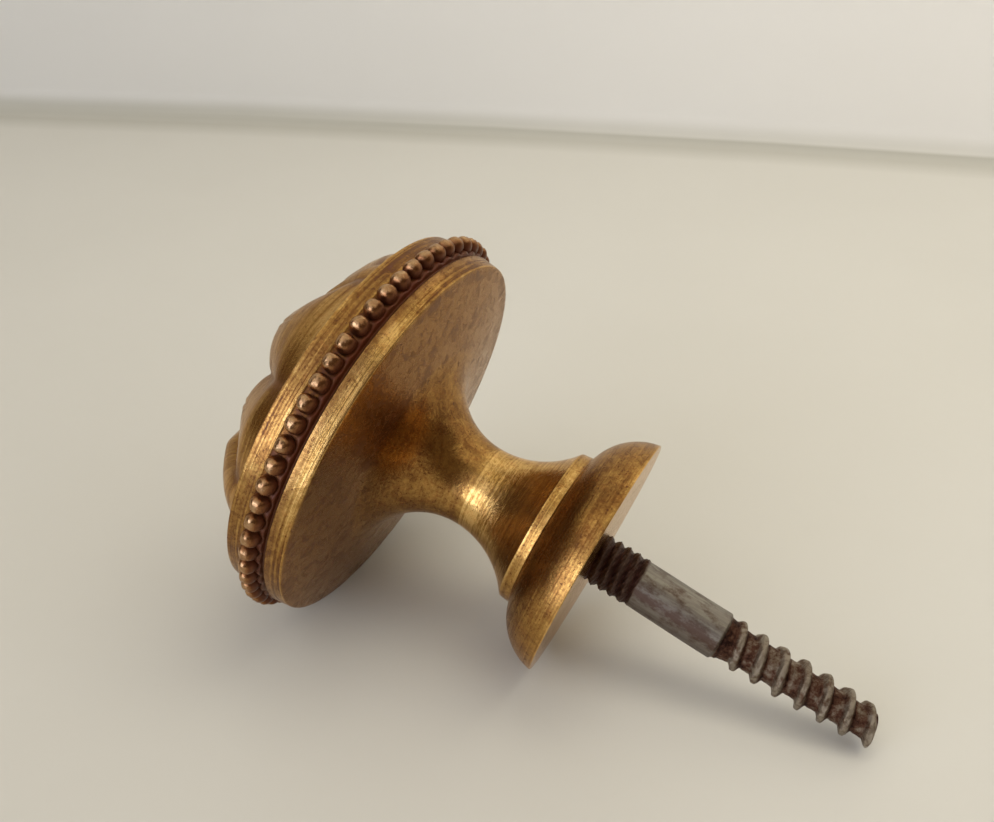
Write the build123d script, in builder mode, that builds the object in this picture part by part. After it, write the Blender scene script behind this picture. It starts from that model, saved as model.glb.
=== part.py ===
"""Drawer knob with a beaded rim and a petalled front, held by a steel dowel screw.

The knob is one piece of brass, cast and then turned: a domed head with a rosette, a bead row
round its rim, a hollow-curved stem, a ring and a foot. The dowel screw has a machine thread in
the knob's tapped hole, a plain shank, and a coarse wood thread that goes into the drawer front.

The knob's axis lies along Y. The seat, the flat back of the foot, is at y = 0. The head points
to -Y, away from the drawer, and the screw to +Y, into the drawer front. Up is +Z. Sizes are in
millimetres. Every profile is drawn in the XY plane, radius along X, and turned about Y.
"""

import os
from math import asin, atan, cos, degrees, pi, radians, sin, sqrt, tan

from build123d import *

# %% Driving dimensions: foot, ring and stem
foot_radius = 9.5  # the sharp edge of the seat
foot_height = 3.8  # seat to ring
foot_bulge = 0.75  # how far the foot's rounded side stands out from a straight cone
ring_radius = 6.1
ring_flare = 0.1  # the ring's back edge is this much larger than its front edge
ring_width = 0.9
neck_radius = 3.27  # the thinnest place of the stem
foot_hollow_radius = 7.0  # the stem's curve between ring and neck
head_hollow_radius = 6.0  # the stem's curve between neck and head
back_slope = 9.0  # degrees, the head's back face falls away from the stem

# %% Driving dimensions: rim, groove and front band
rim_radius = 15.0  # the sharp edge at the back of the head
rim_width = 1.35  # the bright band behind the beads
rim_flare = 0.18  # the band is this much larger beside the groove
groove_width = 0.4
groove_depth = 0.55
bead_seat_radius = 14.8  # the ledge that the beads stand on
band_width = 1.25  # the bright band in front of the beads
band_radius = 14.95
band_step = 0.3  # ledge between the band and the rosette

# %% Driving dimensions: bead row
bead_count = 60  # the row starts half a space past +X
bead_row_radius = 15.4  # circle through the beads' centres
bead_gap = 0.1  # between neighbouring beads
bead_edge = 0.1  # between the beads and the front band
bead_sides = 8  # facets round a bead
bead_rows = ((0, 40), (40, 72))  # degrees of latitude, each row of facets from and to
bead_foot = 0.9  # width of the square neck under a bead
bead_bite = 0.1  # how deep the neck stands in the ledge

# %% Driving dimensions: rosette
dome_height = 5.4  # front band to the middle of the dome, under the petals
petal_sectors = (38, 28.5, 50.5, 40, 41, 40, 41, 40, 41)  # degrees that each petal takes
first_petal_edge = -31.0  # degrees, from +X towards +Z
petal_reach = 14.2  # the petals' outer tips, from the axis
petal_length = 11.4
petal_thickness = 4.8
petal_rise = 1.25  # how far the mean petal stands out of the dome
petal_overlap = 1.12  # a petal's full width over the width of its sector
button_radius = 2.6
button_rise = 1.5

# %% Driving dimensions: dowel screw and its tapped hole
machine_thread_radius = 1.985  # over the crests
machine_thread_inside = 8.0
machine_thread_showing = 3.6
thread_clearance = 0.02
hole_end_gap = 0.8
shank_radius = 1.82
shank_length = 7.0
shank_chamfer = 0.25
wood_thread_length = 11.7
wood_thread_start = 66  # degrees, where the ridge starts, from +X towards -Z
wood_thread_pitch = 1.7
wood_crest_radius = 1.75
wood_core_radius = 1.3
wood_tip_radius = 0.95  # core at the blunt tip
wood_crest_width = 0.35
wood_root_width = 0.95
thread_bite = 0.15  # the ridge's root lies this deep in the core

# %% Places along the axis, all measured from the seat towards the head
ring_back = foot_height
ring_front = ring_back + ring_width
neck_rise = ring_radius - neck_radius
foot_hollow_length = sqrt(foot_hollow_radius**2 - (foot_hollow_radius - neck_rise) ** 2)
neck_place = ring_front + foot_hollow_length
hollow_end_radius = neck_radius + head_hollow_radius * (1 - sin(radians(back_slope)))
hollow_end = neck_place + head_hollow_radius * cos(radians(back_slope))
rim_back = hollow_end + (rim_radius - hollow_end_radius) * tan(radians(back_slope))
rim_front = rim_back + rim_width
groove_front = rim_front + groove_width
bead_radius = bead_row_radius * sin(pi / bead_count) - bead_gap / 2
bead_row = groove_front + bead_radius
bead_sink = bead_row_radius - bead_seat_radius + bead_bite
band_back = bead_row + bead_radius + bead_edge
band_front = band_back + band_width
dome_radius = band_radius - band_step
dome_ball = (dome_radius**2 + dome_height**2) / (2 * dome_height)
petal_ring = petal_reach - petal_length / 2
petal_slope = asin(petal_ring / dome_ball)


def cap(radius, base, rise):
    """Height of a round cap above its base circle, at this radius from its middle."""
    ball = (base**2 + rise**2) / (2 * rise)
    return rise - ball + sqrt(ball**2 - radius**2)


def dome_place(radius):
    """Distance of the dome's surface from the seat, at this radius from the axis."""
    return band_front + cap(radius, dome_radius, dome_height)


button_foot = dome_place(button_radius)


# %% Petals: each is an egg-shaped lobe, sunk into the dome's surface along its slope
def petal_plane(angle, rise):
    """Plane at a petal's middle: X runs outward down the dome, Z is the dome's normal."""
    outward = Vector(cos(radians(angle)), 0, sin(radians(angle)))
    forward = Vector(0, -1, 0)
    normal = outward * sin(petal_slope) + forward * cos(petal_slope)
    surface = outward * petal_ring + forward * dome_place(petal_ring)
    return Plane(
        origin=surface - normal * (petal_thickness / 2 - rise),
        x_dir=outward * cos(petal_slope) - forward * sin(petal_slope),
        z_dir=normal,
    )


def make_petal(sector):
    """One petal about its own middle, as wide as its sector of the rosette."""
    width = 2 * petal_ring * sin(radians(sector / 2)) * petal_overlap
    with BuildPart() as petal:
        Sphere(1)
        scale(by=(petal_length / 2, width / 2, petal_thickness / 2))
    return petal.part


# %% One bead: a ball cut with flat facets, its own Z pointing away from the knob's axis
def facet_taper(near, far):
    """Lean of a row of facets from one latitude to the next one away from the middle, in degrees."""
    narrower = (cos(radians(near)) - cos(radians(far))) * cos(pi / bead_sides)
    return degrees(atan(narrower / (sin(radians(far)) - sin(radians(near)))))


with BuildPart() as bead:
    with BuildSketch():
        Rectangle(bead_foot, bead_foot)
    extrude(amount=-bead_sink)
    for near, far in bead_rows:
        with BuildSketch(Plane.XY.offset(bead_radius * sin(radians(near)))):
            RegularPolygon(bead_radius * cos(radians(near)), bead_sides)
        height = bead_radius * (sin(radians(far)) - sin(radians(near)))
        extrude(amount=height, taper=facet_taper(near, far))


# %% Knob body: one closed profile turned about the axis
def at(radius, place):
    """Point of the profile: this far from the axis, this far from the seat towards the head."""
    return (radius, -place)


def chord_point(start, end, bulge):
    """Point beside the middle of a chord, which an arc passes through."""
    across = Vector(*end) - Vector(*start)
    side = Vector(across.Y, -across.X).normalized()
    return (Vector(*start) + Vector(*end)) * 0.5 + side * bulge


foot_edge = at(foot_radius, 0)
foot_top = at(ring_radius + ring_flare, ring_back)
groove_floor = rim_radius + rim_flare - groove_depth

with BuildPart() as knob:
    with BuildSketch() as knob_profile:
        with BuildLine():
            seat = Line(at(0, 0), foot_edge)
            ovolo = ThreePointArc(foot_edge, chord_point(foot_edge, foot_top, -foot_bulge), foot_top)
            ring = Line(foot_top, at(ring_radius, ring_front))
            foot_hollow = RadiusArc(ring @ 1, at(neck_radius, neck_place), -foot_hollow_radius)
            head_hollow = JernArc(foot_hollow @ 1, (0, -1), head_hollow_radius, 90 - back_slope)
            rim = Polyline(
                head_hollow @ 1,
                at(rim_radius, rim_back),
                at(rim_radius + rim_flare, rim_front),
                at(groove_floor, rim_front),
                at(groove_floor, groove_front),
                at(bead_seat_radius, groove_front),
                at(bead_seat_radius, band_back),
                at(band_radius, band_back),
                at(band_radius, band_front),
                at(dome_radius, band_front),
            )
            dome = ThreePointArc(
                rim @ 1,
                at(dome_radius / 2, dome_place(dome_radius / 2)),
                at(button_radius, dome_place(button_radius)),
            )
            button = ThreePointArc(
                dome @ 1,
                at(button_radius / 2, button_foot + cap(button_radius / 2, button_radius, button_rise)),
                at(0, button_foot + button_rise),
            )
            Line(button @ 1, seat @ 0)
        make_face()
    revolve(axis=Axis.Y)
    # the rosette and the bead row
    for number, sector in enumerate(petal_sectors):
        angle = first_petal_edge + sum(petal_sectors[:number]) + sector / 2
        rise = petal_rise * sector * len(petal_sectors) / 360
        with Locations(petal_plane(angle, rise)):
            add(make_petal(sector))
    with Locations(Plane.XZ.offset(bead_row)):
        with PolarLocations(bead_row_radius, bead_count, start_angle=180 / bead_count):
            with Locations(Rotation(0, 90, 0)):
                add(bead.part)
    # the tapped hole, a plain bore over the thread's crests
    with Locations(Plane.XZ):
        Cylinder(
            machine_thread_radius + thread_clearance,
            machine_thread_inside + hole_end_gap,
            align=(Align.CENTER, Align.CENTER, Align.MIN),
            mode=Mode.SUBTRACT,
        )

knob.part.label = "knob"

# %% Wood thread of the screw: a ridge swept along a helix that narrows with the core
shank_start = machine_thread_showing
shank_end = shank_start + shank_length
screw_end = shank_end + wood_thread_length
core_taper = (wood_core_radius - wood_tip_radius) / wood_thread_length
thread_depth = wood_crest_radius - wood_core_radius
helix_length = wood_thread_length - wood_root_width

with BuildPart() as wood_thread:
    with BuildLine() as thread_path:
        helix = Helix(
            wood_thread_pitch,
            helix_length,
            wood_core_radius,
            center=(0, shank_end, 0),
            direction=(0, 1, 0),
            cone_angle=-degrees(atan(core_taper)),
        )
    with BuildSketch(Plane(helix @ 0, x_dir=(helix @ 0) - Vector(0, shank_end, 0), z_dir=helix % 0)):
        with BuildLine():
            Polyline(
                (-thread_bite, -wood_root_width / 2),
                (0, -wood_root_width / 2),
                (thread_depth, -wood_crest_width / 2),
                (thread_depth, wood_crest_width / 2),
                (0, wood_root_width / 2),
                (-thread_bite, wood_root_width / 2),
                close=True,
            )
        make_face()
    sweep(path=helix, is_frenet=True)


# %% Dowel screw: machine thread, shank and core turned in one profile, then the wood thread added
with BuildPart() as dowel_screw:
    with BuildSketch():
        with BuildLine():
            Polyline(
                (0, -machine_thread_inside),
                (machine_thread_radius, -machine_thread_inside),
                (machine_thread_radius, shank_start),
                (shank_radius, shank_start),
                (shank_radius, shank_end - shank_chamfer),
                (shank_radius - shank_chamfer, shank_end),
                (wood_core_radius, shank_end),
                (wood_tip_radius, screw_end),
                (0, screw_end),
                close=True,
            )
        make_face()
    revolve(axis=Axis.Y)
    with Locations(Rotation(0, wood_thread_start, 0)):
        add(wood_thread.part)

dowel_screw.part.label = "dowel_screw"

# %% One STEP file for each piece
os.makedirs("parts", exist_ok=True)
export_step(knob.part, "parts/knob.step")
export_step(dowel_screw.part, "parts/dowel_screw.step")
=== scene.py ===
# %% [markdown]
# # A beaded drawer knob and its dowel screw
# The knob is one piece of brass: cast, turned, gilt, and rubbed by a hundred years of fingers.
# A steel dowel screw sits in its foot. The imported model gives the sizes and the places; this
# lesson puts the worn edges, the petals, the threads and the metal on top of it.

import bpy
import numpy as np
from mathutils import Matrix, Vector


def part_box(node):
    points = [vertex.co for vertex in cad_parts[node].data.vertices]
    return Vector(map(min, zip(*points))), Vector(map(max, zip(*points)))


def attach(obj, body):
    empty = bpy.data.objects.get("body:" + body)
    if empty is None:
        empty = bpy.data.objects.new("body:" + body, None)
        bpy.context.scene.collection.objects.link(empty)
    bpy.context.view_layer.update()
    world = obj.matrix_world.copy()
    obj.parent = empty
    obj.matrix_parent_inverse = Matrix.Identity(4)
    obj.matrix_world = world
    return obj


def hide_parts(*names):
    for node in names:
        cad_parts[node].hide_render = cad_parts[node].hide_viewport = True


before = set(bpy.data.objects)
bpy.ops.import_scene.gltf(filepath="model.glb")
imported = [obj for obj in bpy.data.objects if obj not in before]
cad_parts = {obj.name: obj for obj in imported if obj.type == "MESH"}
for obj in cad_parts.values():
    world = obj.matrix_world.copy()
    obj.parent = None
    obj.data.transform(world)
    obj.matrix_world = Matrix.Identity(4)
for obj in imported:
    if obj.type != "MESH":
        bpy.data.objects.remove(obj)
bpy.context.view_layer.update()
MM = 0.001
print("CAD nodes:", sorted(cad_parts))
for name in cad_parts:
    low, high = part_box(name)
    print(name, [round(v / MM, 2) for v in low], [round(v / MM, 2) for v in high])

# %% [markdown]
# A few small helpers do the routine work. Colours are written as the sRGB hex values that a
# painter would pick, so one function turns them into the linear values that Blender mixes. One
# adds a shader node with its settings and its links. One puts a grid of points into a mesh, and
# one keeps a number for each point of it. Two soft curves, a step and a bell, shape the rest.


# %% Helpers: colour, node, grid, soft curves
def linear(code):
    """sRGB hex to linear RGBA: dark values are divided by 12.92, the rest follow a power of 2.4."""
    values = [int(code[i : i + 2], 16) / 255 for i in (1, 3, 5)]
    return tuple(v / 12.92 if v <= 0.04045 else ((v + 0.055) / 1.055) ** 2.4 for v in values) + (1,)


def node(tree, kind, settings=None, **inputs):
    """Add one shader node. Settings are its own options; inputs are values or sockets to link.

    An input is named by its label, or by its number as i0, i1. Stops are the places and the
    colours of a colour ramp.
    """
    made = tree.nodes.new("ShaderNode" + kind)
    for key, value in (settings or {}).items():
        if key == "stops":
            stops = made.color_ramp.elements
            for place, code in value[2:]:
                stops.new(place)
            for stop, (place, code) in zip(stops, value):
                stop.position, stop.color = place, linear(code)
        else:
            setattr(made, key, value)
    for key, value in inputs.items():
        by_number = key[0] == "i" and key[1:].isdigit()
        socket = made.inputs[int(key[1:]) if by_number else key.replace("_", " ")]
        if isinstance(value, bpy.types.NodeSocket):
            tree.links.new(value, socket)
        else:
            socket.default_value = value
    return made


def grid_mesh(name, points, wrap=True, flip=False, close_start=False, close_end=False):
    """Mesh over a grid of points (rows, columns, 3), in millimetres.

    Each cell of the grid is one four-sided face. With wrap, the last column joins the first. A
    closed start or end gets a fan of triangles from one middle point, the mean of its row.
    """
    rows, columns = points.shape[:2]
    index = np.arange(rows * columns).reshape(rows, columns)
    after = np.roll(index, -1, axis=1) if wrap else index[:, 1:]
    before = index if wrap else index[:, :-1]
    quads = np.stack([before[:-1], after[:-1], after[1:], before[1:]], axis=-1).reshape(-1, 4)
    verts = points.reshape(-1, 3)
    fans = []
    for closed, row, turn in ((close_start, 0, True), (close_end, -1, False)):
        if closed:
            middle = len(verts)
            verts = np.vstack([verts, points[row].mean(0)])
            ends = (after[row], before[row]) if turn else (before[row], after[row])
            fans.append(np.stack([np.full(columns, middle), *ends], axis=-1))
    faces = quads.tolist() + [f for fan in fans for f in fan.tolist()]
    if flip:
        faces = [f[::-1] for f in faces]
    mesh = bpy.data.meshes.new(name)
    mesh.from_pydata((verts * MM).tolist(), [], faces)
    mesh.shade_smooth()
    piece = bpy.data.objects.new(name, mesh)
    bpy.context.scene.collection.objects.link(piece)
    print(name, len(mesh.vertices), "points,", sum(len(f) - 2 for f in faces), "triangles")
    return piece


def store(piece, name, values):
    """Keep one number or one vector for each point of the mesh, for its material to read."""
    values = np.asarray(values, np.float32)
    kind = "FLOAT" if values.ndim == 1 else "FLOAT_VECTOR"
    layer = piece.data.attributes.new(name, kind, "POINT")
    layer.data.foreach_set("value" if values.ndim == 1 else "vector", values.ravel())


def smoothstep(edge0, edge1, x):
    """0 before edge0, 1 after edge1, and 3t^2 - 2t^3 in between."""
    t = np.clip((x - edge0) / (edge1 - edge0), 0, 1)
    return t * t * (3 - 2 * t)


def bell(x, width):
    """1 where x is 0, falling off to both sides as e to the power of minus (x / width) squared."""
    return np.exp(-((x / width) ** 2))


# %% [markdown]
# The knob lies on a table, so the table is tilted in the knob's own frame: it touches the bead
# row on one side and the sharp edge of the foot on the other. The camera is held level over it.
# All lengths are in millimetres, and all angles are in degrees unless they are turned to radians.

# %% Camera over the table
foot_radius = 9.5
bead_row, bead_reach = 19.81, 16.16  # from the seat, and from the axis to the beads' tops
lean = np.arctan2(bead_reach - foot_radius, bead_row)
up = np.array([0, -np.sin(lean), np.cos(lean)])
table_height = -foot_radius * np.cos(lean)

camera_place = np.array([55.98, 3.33, 53.15])
camera_aim = np.array([-0.7583, -0.1961, -0.6217])
across = np.cross(camera_aim, up)
across /= np.linalg.norm(across)
over = np.cross(across, camera_aim)
lens = bpy.data.cameras.new("camera")
lens.lens = 37.3
lens.clip_start, lens.clip_end = 0.001, 10
camera = bpy.data.objects.new("camera", lens)
axes = np.stack([across, over, -camera_aim], axis=1)
camera.matrix_world = Matrix.Translation(Vector(camera_place * MM)) @ Matrix(axes.tolist()).to_4x4()
bpy.context.scene.collection.objects.link(camera)
bpy.context.scene.camera = camera

ahead = np.cross(up, across)
below = camera_place - up * (camera_place @ up - table_height)


def on_table(right, forward, high=0.0):
    """Point of the room: so far right and ahead of the spot below the camera, so far up."""
    return below + across * right + ahead * forward + up * high


print("camera above the table:", round(float(camera_place @ up - table_height), 1), "mm")

# %% [markdown]
# The table runs back to the wall and turns up into it through a small rounded cove, so both are
# one sheet. Its rows go from the front edge of the table to the top of the wall. The wall stands a
# little askew, and it is bowed in the middle. Painted light makes the tone lighter towards the
# right, more so on the wall, and the wall lighter than the table; painted shade darkens the cove.

# %% Table and wall
cove = 5.0
quarter = np.linspace(0, np.pi / 2, 12)
depth = np.concatenate([[-900, -150, -60, -12], -cove + cove * np.sin(quarter), [0, 0]])
height = np.concatenate([[0, 0, 0, 0], cove - cove * np.cos(quarter), [20, 420]])
side = np.linspace(-500, 500, 21)
wall_line = 197 - 0.172 * side - 0.0004 * np.clip(side, -110, 110) ** 2
room = np.stack(
    [[on_table(s, w + d, h) for s, w in zip(side, wall_line)] for d, h in zip(depth, height)]
)
table = grid_mesh("table", room, wrap=False)
rightward = smoothstep(-120, 120, side)
# painted light: lighter towards the right, most of all on the wall, and the wall lighter than the
# table
tone = np.where(height[:, None] > 1, 0.5 + 0.5 * rightward, 0.42 + 0.08 * rightward)
# painted shade in the cove, darkest 1.5 mm above the table
cove_shade = 0.6 * bell(height - 1.5, 2) * (depth > -cove - 0.1)
store(table, "tone", (tone - cove_shade[:, None]).ravel())

# %% [markdown]
# ## The turned body
# A lathe hand thinks in a profile: half of the outline, turned about the axis. It is drawn as
# lines and arcs from the seat round to the middle of the front. Each piece also says how soiled
# the brass is at its start and its end, how much mauve patina it keeps, and how deep the
# turning lines are. The corners are then worn round by averaging neighbours along the line.


# %% The knob's profile
step = 0.03  # mm between neighbouring points of a line


def at(radius, place):
    """Point of the profile: distance from the axis, distance from the seat towards the head."""
    return np.array([radius, place], float)


def straight(start, end):
    """Points from start to end, one for each step."""
    count = max(2, int(np.linalg.norm(end - start) / step))
    return start + (end - start) * np.linspace(0, 1, count, endpoint=False)[:, None]


def arc(middle, radius, first, last):
    """Part of a circle: middle plus radius times cosine and sine of angles from first to last."""
    count = max(2, int(abs(last - first) * radius / step))
    angle = np.linspace(first, last, count, endpoint=False)
    return middle + radius * np.stack([np.cos(angle), np.sin(angle)], axis=-1)


def bulged(start, end, rise):
    """Arc over a chord, standing out to its right by rise at the middle.

    Its radius is half the chord squared plus the rise squared, over twice the rise.
    """
    chord = end - start
    half = np.linalg.norm(chord) / 2
    radius = (half**2 + rise**2) / (2 * rise)
    right = np.array([chord[1], -chord[0]]) / (2 * half)
    middle = (start + end) / 2 - right * (radius - rise)
    first = np.arctan2(*(start - middle)[::-1])
    last = np.arctan2(*(end - middle)[::-1])
    return arc(middle, radius, first, last)


foot_bulge = 0.75
ring_back, ring_front, ring_radius, ring_flare = 3.8, 4.7, 6.1, 0.1
neck_radius, foot_hollow, head_hollow = 3.27, 7.0, 6.0  # the last two are the stem's two arcs
back_slope = np.radians(9)
rim_radius, rim_width, rim_flare = 15.0, 1.35, 0.18
rubbed_share = 0.72  # the part of the rim that fingers keep bright
groove_width, groove_depth = 0.4, 0.3
web_radius, ledge_radius = 15.08, 15.0  # the ledge under the beads rises towards the groove
band_radius, band_width, band_gap = 15.05, 1.42, 0.69  # the gap is to the middle of the beads
dome_radius = 14.65

neck_place = ring_front + np.sqrt(foot_hollow**2 - (foot_hollow - ring_radius + neck_radius) ** 2)
hollow_end = at(
    neck_radius + head_hollow * (1 - np.sin(back_slope)),
    neck_place + head_hollow * np.cos(back_slope),
)
rim_back = hollow_end[1] + (rim_radius - hollow_end[0]) * np.tan(back_slope)
rim_front = rim_back + rim_width
groove_front = rim_front + groove_width
band_back = bead_row + band_gap
band_front = band_back + band_width
foot_edge, foot_top = at(foot_radius, 0), at(ring_radius + ring_flare, ring_back)
foot_middle = at(neck_radius + foot_hollow, neck_place)
head_middle = at(neck_radius + head_hollow, neck_place)
ring_turn = np.arctan2(ring_front - neck_place, ring_radius - foot_middle[0]) % (2 * np.pi)
groove_floor = rim_radius + rim_flare - groove_depth
rim_edge = at(rim_radius, rim_back)
rim_soil = at(rim_radius + rim_flare * rubbed_share, rim_back + rim_width * rubbed_share)
groove_edge = at(rim_radius + rim_flare, rim_front)
groove_low = at(groove_floor, rim_front + 0.1)
groove_high = at(groove_floor, groove_front - 0.15)
web_top = at(web_radius, groove_front - 0.08)
web_foot = at(ledge_radius, groove_front + 0.35)

# Points, soil at the start and at the end, mauve patina, turning lines, the last four from 0 to 1.
# The seat starts just beside the axis, where a fan of triangles closes it.
pieces = [
    (straight(at(0.05, 0), foot_edge), 0.20, 0.05, 0.1, 0.4),
    (bulged(foot_edge, foot_top, foot_bulge), 0.40, 0.46, 0.0, 0.5),
    (straight(foot_top, at(ring_radius, ring_front)), 0.27, 0.27, 0.0, 0.6),
    (arc(foot_middle, foot_hollow, ring_turn, np.pi), 0.18, 0.07, 0.0, 0.8),
    (arc(head_middle, head_hollow, np.pi, np.pi / 2 + back_slope), 0.34, 0.44, 0.1, 0.2),
    (straight(hollow_end, rim_edge), 0.45, 0.40, 0.7, 0.1),
    (straight(rim_edge, rim_soil), 0.02, 0.12, 0.0, 1.0),
    (straight(rim_soil, groove_edge), 0.28, 0.50, 0.6, 0.5),
    (straight(groove_edge, groove_low), 0.70, 0.85, 0.0, 0.0),
    (straight(groove_low, groove_high), 0.85, 0.85, 0.0, 0.0),
    (straight(groove_high, web_top), 0.85, 0.95, 0.0, 0.0),
    (straight(web_top, web_foot), 0.95, 0.80, 0.0, 0.0),
    (straight(web_foot, at(ledge_radius, band_back)), 0.72, 0.72, 0.0, 0.0),
    (straight(at(ledge_radius, band_back), at(band_radius, band_back)), 0.7, 0.4, 0.0, 0.0),
    (straight(at(band_radius, band_back), at(band_radius, band_front)), 0.37, 0.42, 0.15, 1.0),
    (straight(at(band_radius, band_front), at(dome_radius, band_front)), 0.45, 0.50, 0.1, 0.5),
]
outline = np.concatenate([piece[0] for piece in pieces])
finish = np.concatenate(
    [np.linspace((a, m, t), (b, m, t), len(line)) for line, a, b, m, t in pieces]
)
along = np.concatenate([[0], np.cumsum(np.linalg.norm(np.diff(outline, axis=0), axis=1))])
print("profile length without the front:", round(float(along[-1]), 2), "mm")


def worn(line, reach):
    """Average each point with its neighbours, with weights that fall off over reach mm.

    A weight is e to the power of minus half the square of distance over reach.
    """
    half = int(3 * reach / step)
    weights = np.exp(-0.5 * (np.arange(-half, half + 1) * step / reach) ** 2)
    weights /= weights.sum()
    padded = np.pad(line, ((half, half), (0, 0)), mode="edge")
    return np.stack([np.convolve(column, weights, mode="valid") for column in padded.T], axis=-1)


profile = worn(outline, 0.06)
finish = worn(finish, 0.1)

# %% [markdown]
# Rows are spent where the profile bends: the density is one row per 0.4 mm plus extra where
# the direction changes, so the edges stay crisp and the plain faces stay light. A corner that
# stands out is rubbed bright, so the same bend also takes soil away.

# %% Rows of the profile
row_count = 150
plain_row, bent_row = 0.4, 0.35  # mm between rows on a plain face, radians between them on a bend
corner_bend = 6  # radians per mm, where a corner counts as fully worn
direction = np.unwrap(np.arctan2(*np.gradient(profile, axis=0).T[::-1]))
bend = np.gradient(direction, along)
density = 1 / plain_row + np.abs(bend) / bent_row
share = np.concatenate([[0], np.cumsum((density[1:] + density[:-1]) / 2 * np.diff(along))])
picked = np.interp(np.linspace(0, share[-1], row_count), share, along)
body_radius, body_place = (np.interp(picked, along, profile[:, k]) for k in (0, 1))
body_soil, body_mauve, body_lines = (np.interp(picked, along, finish[:, k]) for k in range(3))
standing = np.clip(np.interp(picked, along, bend) / corner_bend, 0, 1)
# a worn corner loses up to 0.7 of its soil, except in the groove, which no finger reaches
body_soil = body_soil * (1 - 0.7 * standing * (body_soil < 0.6))
print("rows picked:", row_count, "of", len(profile))

# %% [markdown]
# ## The rosette
# Nine petals cover the dome, uneven, as the wax for the casting was cut by hand, and one small
# leaf fills the gap between two of them. Two curves give the heights: the crest along the middle
# of a petal, and the valley between two petals. Across its sector a petal rises from valley to
# crest as a power of a sine, and a fine vein with two raised edges runs down its middle.

# %% Heights of the front
# where one petal meets the next; the leaf is the narrow sector from 82.5 to 95.5 degrees
petal_edges = np.array([-17, 3.5, 38.5, 82.5, 95.5, 134, 167, 207, 248, 288, 343])
petal_swell = np.array([1.1, 0.7, 1.25, 0.65, 1.1, 1.0, 0.95, 1.0, 1.1, 0.95])
# heights over the band at these radii
height_at = [0, 4, 7, 9, 11, 12.5, 13.6, 14.65]
crest_height = [5.8, 6.25, 5.0, 4.9, 3.6, 2.3, 0.05, 0.0]
valley_height = [5.0, 4.95, 3.8, 3.65, 2.3, 1.65, 0.05, 0.0]
button_radius, button_foot, button_rise = 2.7, 4.75, 1.75
fine_radius = np.arange(0, 15.5, step)


def drawn(heights, radius):
    """Soft curve through the heights: straight runs between them, averaged over 0.3 mm."""
    line = np.interp(fine_radius, height_at, heights)[:, None]
    return np.interp(radius, fine_radius, worn(line, 0.3)[:, 0])


def front_height(radius, angle):
    """Height of the front over the band and the petals' share of it, for radius and degrees.

    Petal: swell times the sine across its sector to the power 0.7, times crest less valley. Vein:
    a groove 0.06 mm deep along the petal's middle, with an edge 0.05 mm high at 0.3 mm on each
    side of it. Button: a cap with a hollow 0.35 mm deep on top and a collar 0.3 mm high round it.
    """
    turned = (angle - petal_edges[0]) % 360 + petal_edges[0]
    number = np.searchsorted(petal_edges, turned, side="right") - 1
    number = np.clip(number, 0, len(petal_swell) - 1)
    sector = petal_edges[number + 1] - petal_edges[number]
    over = (turned - petal_edges[number]) / sector
    lobe = np.abs(np.sin(np.pi * over)) ** 0.7
    valley = drawn(valley_height, radius)
    rise = petal_swell[number] * lobe * (drawn(crest_height, radius) - valley)
    beside = (over - 0.5) * np.radians(sector) * radius
    vein = 0.06 * bell(beside, 0.15) - 0.05 * bell(np.abs(beside) - 0.3, 0.12)
    vein = vein * smoothstep(3.6, 5, radius) * smoothstep(12.6, 10, radius)
    petals = valley + (rise - vein) * smoothstep(button_radius, 3.9, radius)
    button = button_foot + button_rise * np.sqrt(np.clip(1 - (radius / button_radius) ** 2, 0, 1))
    button = np.where(radius < button_radius, button - 0.35 * bell(radius, 0.7), 0)
    collar = 0.3 * bell(radius - 2.95, 0.22)
    return np.maximum(petals + collar, button), lobe


# %% [markdown]
# ## The knob's surface
# The profile's rows and the front's rings make one grid of 360 columns. The turning is not quite
# true, so the rows waver by 0.02 mm at most. Sixty beads stand round the rim, and
# between each two of them the ledge rises in a little web of metal, highest on the groove side.
# The mesh also keeps the soil with its painted shade, the patina, the strength of the turning lines
# and the path along the lathe, for the material to read.

# %% Knob body
# the beads stand closest round this angle, and none is moved by more than this many degrees
crowded, crowding = 41, 3.4
bead_count = 60
web_height = 0.25
columns = 360
angle = np.arange(columns) * 360 / columns
front_rim, front_middle = np.linspace(dome_radius - 0.02, 11, 26), np.linspace(10.8, 0.06, 52)
front_radius = np.concatenate([front_rim, front_middle])
front_r, front_a = np.meshgrid(front_radius, angle, indexing="ij")
front_rise, lobe = front_height(front_r, front_a)


def rows(values):
    """Repeat one value per profile row over all the columns."""
    return np.repeat(values[:, None], columns, axis=1)


wobble = 0.012 * np.sin(np.radians(3 * angle + 40)) + 0.008 * np.sin(np.radians(7 * angle + 10))
radius = np.concatenate([rows(body_radius) + wobble * smoothstep(4, 9, rows(body_radius)), front_r])
place = np.concatenate([rows(body_place), band_front + front_rise])
evened = angle + crowding * np.sin(np.radians(angle - crowded))
between = 0.5 + 0.5 * np.cos(np.radians(bead_count * evened))
web = smoothstep(groove_front - 0.2, groove_front, place)
web = web * smoothstep(band_back, groove_front, place)
radius = radius + web_height * web * between
turn = np.radians(angle)[None, :]
knob_points = np.stack([radius * np.cos(turn), -place, radius * np.sin(turn)], axis=-1)
knob = grid_mesh("knob_body", knob_points, flip=True, close_start=True, close_end=True)

# soil lies in the valleys between the petals, more so near the rim, and round the button
valley_soil = 0.25 + (1 - lobe) ** 2 * (0.4 + 0.3 * smoothstep(10, 13, front_r))
valley_soil = valley_soil + 0.3 * bell(front_r - 3.4, 0.5)
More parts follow.
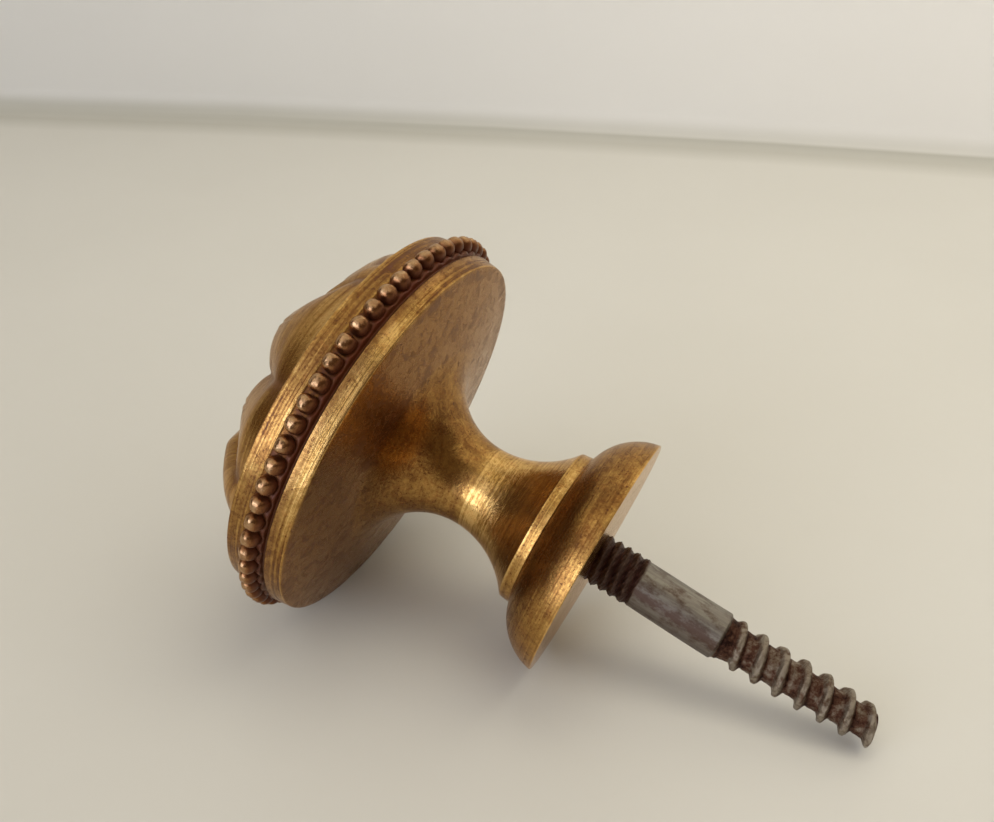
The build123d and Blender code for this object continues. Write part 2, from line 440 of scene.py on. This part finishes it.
# painted light and shade: the rim and the band are lighter on the side that faces the window,
# within some 30 degrees of this angle, and darker elsewhere
lit_side = 38
away = np.abs((angle - lit_side + 180) % 360 - 180)
painted_side_shade = (0.3 * (body_mauve < 0.1) + 0.15) * (body_radius > 14) * (body_soil < 0.45)
for name, body, front in (
    ("soil", rows(body_soil) + rows(painted_side_shade) * smoothstep(20, 48, away), valley_soil),
    ("mauve", rows(body_mauve), np.zeros_like(front_r)),
    ("lines", rows(body_lines), 0.3 + 0.6 * smoothstep(6, 11, front_r)),
    ("olive", rows(np.zeros(row_count)), smoothstep(14.6, 13.9, front_r)),
):
    values = np.concatenate([body, front]).ravel()
    # the last two values belong to the middle points of the closed ends
    store(knob, name, np.append(values, [values[0], values[-1]]))
# the lathe's own coordinates: the way along the profile, and the place across the axis
lathe_s = np.concatenate([rows(picked), picked[-1] + dome_radius - front_r])
lathe = np.stack([lathe_s, radius * np.cos(turn), radius * np.sin(turn)], axis=-1).reshape(-1, 3)
store(knob, "lathe", np.vstack([lathe, [0, 0, 0], lathe[-1]]))

# %% [markdown]
# ## The bead row
# Sixty beads stand round the rim. Each is a ball grid of its own, pressed and chased by hand, so
# they differ a little in size and none is quite round. The soil sits between them, and painted
# shade darkens their groove side.

# %% Beads
bead_circle = 15.36  # radius of the circle through their middles
bead_size = np.array([0.745, 0.66, 0.66])  # half of it: outward, along the row, along the axis
bead_power = np.array([0.95, 0.72, 0.92])  # powers below 1 make the ball a little square
bead_columns = 20
random = np.random.default_rng(7)
longitude = np.radians(np.arange(bead_columns) * 360 / bead_columns)
latitude = np.radians(np.linspace(-90, 90, 13))[1:-1]
ball = np.stack(
    [
        np.sin(latitude)[:, None] * np.ones(bead_columns),
        np.cos(latitude)[:, None] * np.cos(longitude),
        np.cos(latitude)[:, None] * np.sin(longitude),
    ],
    axis=-1,
)
ball = np.sign(ball) * np.abs(ball) ** bead_power
spots = 180 / bead_count + np.arange(bead_count) * 360 / bead_count
spots = np.radians(spots - crowding * np.sin(np.radians(spots - crowded)))
outward = np.stack([np.cos(spots), 0 * spots, np.sin(spots)], axis=-1)
sideways = np.stack([-np.sin(spots), 0 * spots, np.cos(spots)], axis=-1)
forward = np.array([0, -1, 0])
beads, bead_values = [], []
for number in range(bead_count):
    size = bead_size * (1 + 0.03 * np.clip(random.standard_normal(3), -1.5, 0.6))
    shape = ball * size
    shape = shape * (1 + 0.03 * np.sin(3 * longitude + random.uniform(0, 6)))[None, :, None]
    points = (
        outward[number] * bead_circle
        + forward * (bead_row - 0.03 + 0.02 * random.standard_normal())
        + shape[..., :1] * outward[number]
        + shape[..., 1:2] * sideways[number]
        + shape[..., 2:] * forward
    )
    beads.append(grid_mesh(f"bead_{number}", points, flip=True, close_start=True, close_end=True))
    # rubbed clean on top, soiled towards the neighbours, and darkest towards the groove, as painted
    # shade
    reach = np.append(ball[..., 0].ravel(), [-1, 1])
    aside = np.append(np.abs(ball[..., 1]).ravel(), [0, 0])
    back = np.append(-ball[..., 2].ravel(), [0, 0])
    values = 0.75 - 0.45 * smoothstep(-0.2, 0.9, reach) + 0.2 * smoothstep(0.6, 1.0, aside)
    bead_values.append(values + 0.35 * smoothstep(0.0, 0.9, back))
with bpy.context.temp_override(active_object=beads[0], selected_editable_objects=beads):
    bpy.ops.object.join()
bead_ring = beads[0]
bead_ring.name = "bead_row"
store(bead_ring, "soil", np.concatenate(bead_values))

# %% [markdown]
# ## The dowel screw
# One surface again: the radius is a function of the place along the screw and of the angle.
# A thread is the same ridge at every angle, moved back by one pitch for each full turn, which
# makes it right-handed. The wood thread's ridge has soft flanks and a worn, chipped crest, and
# the broken end is rounded off and cut askew. The screw droops by 0.2 mm, as if levered out.


# %% Screw
def beside_crest(y, angle, pitch, place):
    """Distance along the screw to the nearest crest, which sits at place where the angle is 0."""
    phase = (y - place) / pitch + angle / 360
    return (phase - np.round(phase)) * pitch


fine_pitch, coarse_pitch = 0.794, 1.7
screw_end = 22.6
screw_columns = 120
screw_a = np.arange(screw_columns) * 360 / screw_columns
screw_y = np.concatenate(
    [
        np.linspace(-8, -0.6, 10),
        np.linspace(-0.5, 3.9, 112),
        np.linspace(4.0, 10.2, 26),
        np.linspace(10.26, screw_end, 300),
    ]
)
y, a = np.meshgrid(screw_y, screw_a, indexing="ij")
# two slow waves along and across the thread stand for its chipped and battered edge
wind = np.radians(a) - 2 * np.pi * y / coarse_pitch
chips = 0.6 * np.sin(1.3 * wind + 2 * y) + 0.4 * np.sin(2.7 * wind - y + 1)

# machine thread: root radius 1.66 mm, ridges 0.28 mm high, clogged unevenly with grease
fine_away = np.abs(beside_crest(y, a, fine_pitch, 1.31))
fine_crest = 1 - fine_away / (fine_pitch / 2)
machine = 1.66 + 0.28 * fine_crest**0.75 + 0.03 * np.sin(np.radians(5 * a) + 9 * y)
machine = machine + 0.02 * np.sin(np.radians(11 * a) - 23 * y)

# wood thread: core and crest both taper, and the core is undercut a little on the tip's side
coarse_away = beside_crest(y, a, coarse_pitch, 10.29)
coarse_crest = smoothstep(0.48, 0.13, np.abs(coarse_away + 0.04 * chips))
core = np.interp(y, [10.4, 11.0, 12.0, 22.2], [1.66, 1.5, 1.32, 1.02])
crest = np.interp(y, [10.5, 11.6, 20.5, screw_end], [1.60, 1.77, 1.62, 1.40]) + 0.06 * chips
core = core + 0.03 * chips - 0.04 * bell(coarse_away - 0.45, 0.15)
wood = core + (crest - core) * coarse_crest

shank = 1.82 + 0.004 * np.sin(np.radians(2 * a))
to_shank, to_wood = smoothstep(3.45, 3.7, y), smoothstep(10.35, 10.62, y)
screw_radius = machine * (1 - to_shank) + shank * to_shank
screw_radius = screw_radius * (1 - to_wood) + wood * to_wood

# the broken end is rounded off over 0.3 mm and cut askew
screw_radius = screw_radius * np.sqrt(smoothstep(screw_end, 22.3, y))
screw_radius = np.maximum(screw_radius, 0.02)
askew = 0.15 * screw_radius * np.cos(np.radians(a - 318)) * smoothstep(21.4, 22.4, y)

droop = 0.2 * smoothstep(1.0, 10.6, y)[..., None] * np.array([0.54, 0, -0.84])
screw_turn = np.radians(a)
screw_points = np.stack(
    [screw_radius * np.cos(screw_turn), y + askew, screw_radius * np.sin(screw_turn)], axis=-1
)
screw = grid_mesh("screw", screw_points + droop, close_start=True, close_end=True)

# rust sits in the roots and on the first turn of the thread; painted shade darkens the roots as
# well, and the tip's side of each crest
wood_root = (1 - coarse_crest) * to_wood
tip_side = bell(coarse_away - 0.4, 0.16) * to_wood
first_turn = 0.35 * smoothstep(10.4, 10.6, y) * smoothstep(12.0, 11.0, y)
fine_root = (1 - fine_crest) * (1 - to_shank)
# painted shade: the shank's underside is darkened, with the grease colour
underside = smoothstep(-0.2, 0.6, np.cos(np.radians(a + 50))) * to_shank * (1 - to_wood)
for name, values in (
    ("rust", 0.05 * to_wood + 0.42 * wood_root + 0.35 * tip_side + first_turn),
    ("dark", (1 - to_shank) * (0.8 + 0.2 * fine_root) + 0.35 * underside),
    ("bare", to_shank * (1 - to_wood)),
    ("band", 0.14 * bell(a - 22, 18)),
):
    store(screw, name, np.append(values.ravel(), [values[0, 0], values[-1, 0]]))

# %% [markdown]
# ## Materials
# Every finish here is noise of a real size, laid over the values that the mesh keeps. Small
# helpers stand for the nodes that come back again and again.


# %% Helpers for materials
def new_material(name, **constants):
    """Empty material with a Principled shader set to these constants, and its node tree."""
    made = bpy.data.materials.new(name)
    made.use_nodes = True
    made.node_tree.nodes.clear()
    shader = node(made.node_tree, "BsdfPrincipled", **constants)
    node(made.node_tree, "OutputMaterial", Surface=shader.outputs[0])
    return made, made.node_tree, shader


def drive(tree, shader, **sockets):
    """Link each socket to the shader's input of the same name."""
    for name, socket in sockets.items():
        tree.links.new(socket, shader.inputs[name.replace("_", " ")])


def stored(tree, name, output="Fac"):
    """What the mesh keeps under this name."""
    return node(tree, "Attribute", {"attribute_name": name}).outputs[output]


def piece_mm(tree):
    """Place on the piece, in millimetres."""
    place = node(tree, "TexCoord").outputs["Object"]
    return node(tree, "VectorMath", {"operation": "SCALE"}, i0=place, Scale=1 / MM).outputs[0]


def stretched(tree, place, *scales):
    """The place with each of its three coordinates times its own scale."""
    return node(tree, "VectorMath", {"operation": "MULTIPLY"}, i0=place, i1=scales).outputs[0]


def noise(tree, place, scale, detail, roughness, distortion=0.0):
    """Noise round 0.5 whose largest spots are some 1 / scale mm across."""
    inputs = {"Vector": place, "Scale": scale, "Detail": detail, "Roughness": roughness}
    return node(tree, "TexNoise", **inputs, Distortion=distortion).outputs["Fac"]


def calc(tree, operation, *values):
    """One Math operation on numbers or sockets.

    MULTIPLY_ADD is the first times the second, plus the third.
    """
    inputs = {f"i{number}": value for number, value in enumerate(values)}
    return node(tree, "Math", {"operation": operation}, **inputs).outputs[0]


def remap(tree, value, low, high, first=0.0, last=1.0):
    """The value between low and high, brought to the range from first to last and kept inside."""
    return node(tree, "MapRange", i0=value, i1=low, i2=high, i3=first, i4=last).outputs[0]


def ramp(tree, factor, *stops):
    """Colour between stops, each of them a place and a colour."""
    return node(tree, "ValToRGB", {"stops": stops}, Fac=factor).outputs[0]


def blend(tree, share, first, second, kind="MIX"):
    """The first colour, with this share of the second one laid over it."""
    settings = {"data_type": "RGBA", "blend_type": kind}
    return node(tree, "Mix", settings, i0=share, i6=first, i7=second).outputs[2]


def bump(tree, strength, depth, height, **normal):
    """Surface that looks uneven by a height between 0 and 1, where 1 stands for depth in mm."""
    inputs = {"Strength": strength, "Distance": depth * MM, "Height": height, **normal}
    return node(tree, "Bump", **inputs).outputs[0]


def dress(piece, material):
    """Give the piece this material alone."""
    piece.data.materials.clear()
    piece.data.materials.append(material)
    print(material.name, "on", piece.name, "with", len(material.node_tree.nodes), "nodes")


# %% [markdown]
# The gilding is a thin bright layer over brass. A hundred years put brown soil into the hollows
# and a mauve-brown patina on the faces that are never wiped, and painted shade darkens the rim
# and the band away from the window. The lathe's lines run round the knob, so their noise is
# stretched along the circle and squeezed across it. All patterns first add up to one amount of
# soil and painted shade. The amount then picks the colour, the gloss and how metallic the surface
# is.

# %% Gilt brass: bright worn gold, brown soil in the hollows, mauve patina on the back
# old gold keeps its warm tint at a low angle too
edge_tint = linear("#fff0e0")
gilt, tree, shader = new_material("gilt_brass_patina", Specular_Tint=edge_tint)
lathe = stored(tree, "lathe", "Vector")
soil, mauve, lines, olive = (stored(tree, name) for name in ("soil", "mauve", "lines", "olive"))
spot = piece_mm(tree)
# turning lines: some six to the millimetre across the lathe's path, each some 10 mm long
streaks = noise(tree, stretched(tree, lathe, 6.0, 0.1, 0.1), 1.0, 3.0, 0.7)
streak = remap(tree, streaks, 0.36, 0.64)
# grain of the casting under the gold, 0.2 mm, and rubbed patches of about 1.2 mm
grain = remap(tree, noise(tree, spot, 5.0, 4.0, 0.7), 0.36, 0.64)
patches = noise(tree, spot, 0.8, 5.0, 0.62, distortion=0.8)
# dark pits up to 0.2 mm across, a little drawn out along the lines
pit_noise = noise(tree, stretched(tree, lathe, 5.0, 3.2, 3.2), 1.0, 4.0, 0.65)
pits = remap(tree, pit_noise, 0.61, 0.7, 0.0, 0.4)
# fine dark cracks and scuffs run where a slow noise crosses its middle value
crossing = calc(tree, "SUBTRACT", noise(tree, spot, 0.9, 4.0, 0.6), 0.5)
crack = remap(tree, calc(tree, "ABSOLUTE", crossing), 0.0, 0.014, 0.28, 0.0)

# patches and cracks are strongest where there is patina, and the rosette is a little calmer
uneven = calc(tree, "MULTIPLY_ADD", mauve, 1.6, 0.6)
calm = remap(tree, olive, 0.0, 1.0, 1.0, 0.8)
# how dark the surface is: the soil with its painted shade, plus each pattern round its own middle
# value
pattern = calc(tree, "MULTIPLY_ADD", grain, 0.2, -0.1)
patch = calc(tree, "MULTIPLY", calc(tree, "SUBTRACT", patches, 0.5), uneven)
crack = calc(tree, "MULTIPLY", crack, uneven)
for part in (patch, pits, crack):
    pattern = calc(tree, "ADD", pattern, part)
amount = calc(tree, "MULTIPLY_ADD", pattern, calm, soil)
line = calc(tree, "MULTIPLY_ADD", streak, 0.46, -0.23)
amount = calc(tree, "MULTIPLY_ADD", line, lines, amount)
worn_gold, old_gold, tan, brown, umber = "#deb671", "#b48c4c", "#8d6434", "#5b371c", "#55230f"
stops = ((0.0, worn_gold), (0.22, old_gold), (0.45, tan), (0.72, brown), (1.0, umber))
gold = ramp(tree, amount, *stops)
# worn spots of about 0.7 mm show the redder brass under the gold
redder = remap(tree, noise(tree, spot, 1.5, 4.0, 0.7), 0.5, 0.68, 0.0, 0.3)
coppery = blend(tree, redder, gold, linear("#fbd0c4"), "MULTIPLY")
# the patina is rubbed thin in the same patches, and the rosette has a greener cast
thin = remap(tree, patches, 0.4, 0.6, 1.2, 0.5)
faded = blend(tree, calc(tree, "MULTIPLY", mauve, thin), coppery, linear("#886240"))
tinted = blend(tree, calc(tree, "MULTIPLY", olive, 0.35), faded, linear("#946630"))

# grain and lines stand up from the surface, pits and cracks are sunk into it
relief = calc(tree, "MULTIPLY", calc(tree, "MULTIPLY", grain, calm), 0.5)
relief = calc(tree, "MULTIPLY_ADD", calc(tree, "MULTIPLY", line, 1.5), lines, relief)
for part in (pits, crack):
    relief = calc(tree, "SUBTRACT", relief, part)
fine_bump = bump(tree, 0.8, 0.01, relief)
drive(
    tree,
    shader,
    Base_Color=tinted,
    Roughness=remap(tree, amount, 0.0, 1.0, 0.13, 0.42),
    # thick soil is earth and wax, not metal
    Metallic=remap(tree, amount, 0.65, 0.95, 0.95, 0.25),
    Normal=bump(tree, 0.6, 0.035, patches, Normal=fine_bump),
)
dress(knob, gilt)

# %% [markdown]
# The beads carry the same soil, and painted shade on their groove side, without the turning lines,
# as no lathe ever touched them.

# %% Beads: brown patina, rubbed on top, dark brown soil between them, painted shade on the groove side
pearl, tree, shader = new_material("bead_patina", Specular_Tint=edge_tint)
# grain of the casting, 0.3 mm, round its middle value
grain = noise(tree, piece_mm(tree), 3.0, 4.0, 0.65)
amount = calc(tree, "MULTIPLY_ADD", grain, 0.6, stored(tree, "soil"))
amount = calc(tree, "SUBTRACT", amount, 0.3)
stops = ((0.2, "#bb9a72"), (0.45, "#956a46"), (0.7, "#694027"), (1.0, "#522713"))
drive(
    tree,
    shader,
    Base_Color=ramp(tree, amount, *stops),
    Roughness=remap(tree, amount, 0.2, 1.0, 0.16, 0.45),
    Metallic=remap(tree, amount, 0.65, 1.0, 0.95, 0.35),
    Normal=bump(tree, 0.8, 0.04, grain),
)
dress(bead_ring, pearl)

# %% [markdown]
# The screw was drawn as wire, so the bare shank shows fine lines along it. Rust starts in the
# roots of the wood thread, where painted shade darkens them too, and old grease from the knob's
# hole clogs the machine thread. The grease colour also paints shade on the shank's underside.

# %% Old steel: grey where it is bare, brown grease in the fine thread, dark rust and painted shade in the roots, painted shade under the shank
steel, tree, shader = new_material("rusted_steel", Metallic=0.85)
rust, dark, bare, band = (stored(tree, name) for name in ("rust", "dark", "bare", "band"))
spot = piece_mm(tree)
# grain of 0.6 mm, stains drawn out along the screw, and the fine lines of the drawn wire
grain = noise(tree, spot, 1.6, 6.0, 0.72)
stain = noise(tree, stretched(tree, spot, 1.0, 0.5, 1.0), 1.4, 5.0, 0.7)
drawing = noise(tree, stretched(tree, spot, 5.0, 0.25, 5.0), 1.0, 3.0, 0.6)
# bare shank: greys along the drawing lines, with brown stains, and browner along one side, round 22
# degrees
grey = ramp(tree, drawing, (0.35, "#7d776d"), (0.5, "#898277"), (0.65, "#949083"))
brownish = remap(tree, calc(tree, "ADD", stain, band), 0.48, 0.66, 0.0, 0.8)
browned = blend(tree, brownish, grey, linear("#553f33"))
# threads: from worn grey crests to the dark rust and painted shade of the roots
speckled = calc(tree, "MULTIPLY_ADD", grain, 2.6, -1.24)
rust_and_shade_level = calc(tree, "MULTIPLY_ADD", rust, 0.9, speckled)
stops = ((0.0, "#958a79"), (0.28, "#786857"), (0.58, "#5b3c2c"), (1.0, "#27130c"))
mixed = blend(tree, bare, ramp(tree, rust_and_shade_level, *stops), browned)
# the grease colour also paints shade on the shank's underside
greasy_and_shaded = blend(tree, dark, mixed, linear("#3d2019"))
pitted = calc(tree, "MULTIPLY_ADD", bare, -0.85, 1.0)
drive(
    tree,
    shader,
    Base_Color=greasy_and_shaded,
    Roughness=remap(tree, rust_and_shade_level, 0.0, 1.0, 0.42, 0.7),
    Normal=bump(tree, 0.8, 0.22, calc(tree, "MULTIPLY", grain, pitted)),
)
dress(screw, steel)

# %% [markdown]
# The table and the wall wear the same pale paint. A wide, weak cloud and a fine orange-peel
# surface keep it from looking like paper.

# %% Satin wall paint, brushed on, on the table top and the wall
paint, tree, shader = new_material("painted_table", Roughness=0.55)
spot = piece_mm(tree)
# clouds of some 30 mm over the tone that the mesh keeps, with its painted light and shade
cloud = noise(tree, spot, 0.03, 3.0, 0.5)
shift = calc(tree, "MULTIPLY_ADD", cloud, 0.1, stored(tree, "tone"))
drive(
    tree,
    shader,
    Base_Color=ramp(tree, shift, (0.0, "#adab9e"), (1.0, "#e7e5dc")),
    Normal=bump(tree, 0.15, 0.1, noise(tree, spot, 0.5, 2.0, 0.5)),
)
dress(table, paint)

# %% [markdown]
# ## Light
# A low window stands behind the camera on the left, and a pale ceiling hangs over the table. The
# rest of the room is dim and warm, and it is what the dark parts of the gold reflect. Two more
# lamps light the wall and the knob's shaded side, and stay out of the mirror images in the metal.

# %% Lamps and world
world = bpy.data.worlds.new("room")
bpy.context.scene.world = world
world.use_nodes = True
tree = world.node_tree
tree.nodes.clear()
dim = node(tree, "Background", Color=linear("#6d5a43"), Strength=1.0)
pale = node(tree, "Background", Color=linear("#dcd6ca"), Strength=1.0)
path = node(tree, "LightPath")
seen = path.outputs["Is Camera Ray"]
both = node(tree, "MixShader", i0=seen, i1=dim.outputs[0], i2=pale.outputs[0])
node(tree, "OutputWorld", Surface=both.outputs[0])


def toward(azimuth, elevation, distance):
    """Place seen from the knob at an azimuth right of straight ahead and at an elevation."""
    sweep, rise = np.radians(azimuth), np.radians(elevation)
    flat = across * np.sin(sweep) + ahead * np.cos(sweep)
    return knob_middle + distance * (flat * np.cos(rise) + up * np.sin(rise))


def panel(name, place, aim, width, height, radiance, tint, mirrored=True):
    """Soft lamp at a place, turned to an aim. Its power is radiance times pi times its area.

    A lamp that isn't mirrored lights the surfaces, but the metal shows no image of it.
    """
    lamp = bpy.data.lights.new(name, "AREA")
    lamp.shape = "RECTANGLE"
    lamp.size, lamp.size_y = width * MM, height * MM
    lamp.energy = radiance * np.pi * width * height * MM**2
    lamp.color = linear(tint)[:3]
    back = (place - aim) / np.linalg.norm(place - aim)
    right = np.cross(up, back) / np.linalg.norm(np.cross(up, back))
    turned = Matrix(np.stack([right, np.cross(back, right), back], axis=1).tolist()).to_4x4()
    made = bpy.data.objects.new(name, lamp)
    made.matrix_world = Matrix.Translation(Vector(place * MM)) @ turned
    made.visible_glossy = mirrored
    bpy.context.scene.collection.objects.link(made)
    print(name, width, "x", height, "mm, radiance", radiance)


knob_middle = np.array([0, -12.0, 0])
panel("window", toward(-132, 16, 650), knob_middle, 520, 440, 3.5, "#e0e7fb")
panel("window_top", toward(-135, 50, 700), knob_middle, 700, 440, 0.9, "#f4f6ff")
panel("ceiling", toward(15, 66, 640), knob_middle, 1500, 1200, 0.72, "#fffcee")
wall_spot = on_table(100, 190, 70)
panel("wall_wash", on_table(90, 70, 230), wall_spot, 220, 120, 2.6, "#fff8ea", mirrored=False)
panel("side_fill", toward(117, 28, 520), knob_middle, 420, 260, 1.9, "#fbfbff", mirrored=False)

# %% [markdown]
# ## Hand over
# The knob's body and its bead row take the place of the CAD knob, and the screw that of the CAD
# screw. Nothing moves, so all of them ride on the root.

# %% Hand over
for piece in (knob, bead_ring):
    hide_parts("knob")
    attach(piece, "root")
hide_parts("dowel_screw")
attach(screw, "root")

bpy.context.scene.view_settings.view_transform = "Standard"
